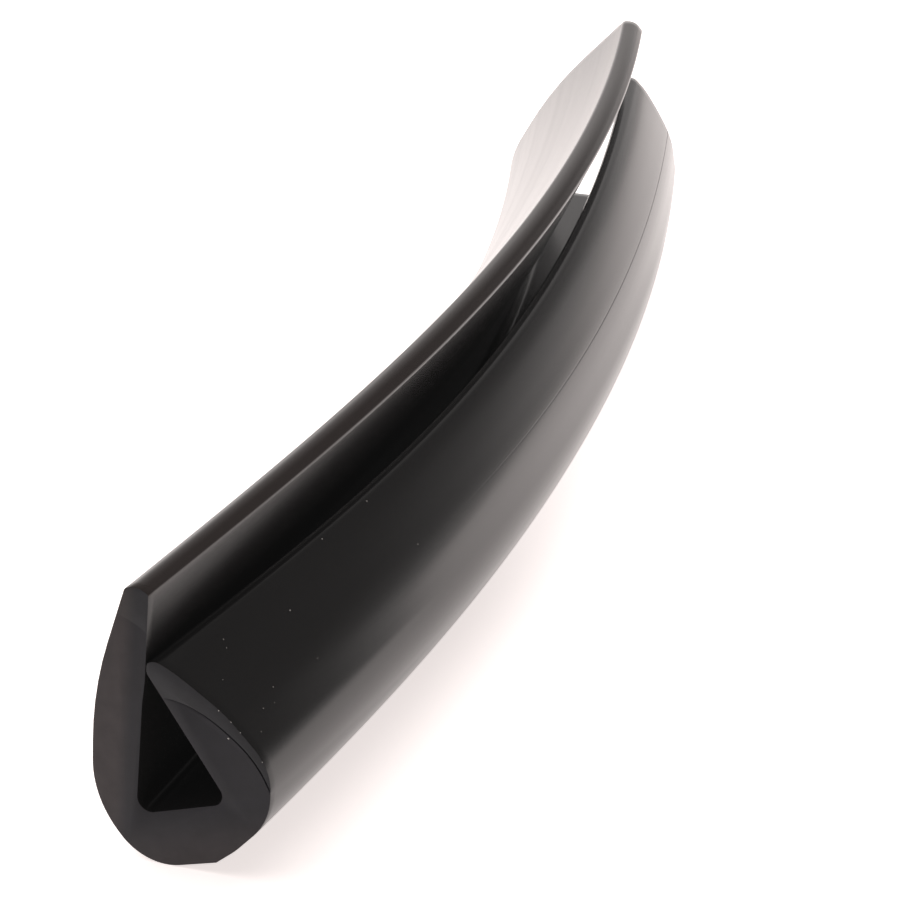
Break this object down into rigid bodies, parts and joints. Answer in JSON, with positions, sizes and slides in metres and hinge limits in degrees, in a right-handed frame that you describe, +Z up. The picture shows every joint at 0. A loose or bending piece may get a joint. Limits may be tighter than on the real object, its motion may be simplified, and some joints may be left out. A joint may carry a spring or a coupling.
{
  "type": "edge trim seal",
  "caption": "Short cut length of clip-on edge trim seal: a black teardrop extrusion whose tall limb and curved lip close a channel that grips a sheet's edge.",
  "frame": {"origin": "on the level floor that the strip lies on, under the middle of its bounding box", "axes": "+Z up; +Y along the strip, away from the near cut face; the strip bends towards -X, its tall limb on the -X side of its lip"},
  "size_m": [0.021, 0.075, 0.0145],
  "materials": {
    "soft_pvc": "satin extruded skin, matt where it is cut"
  },
  "bodies": {
    "root": {"trim_strip": "soft_pvc"}
  },
  "joints": []
}
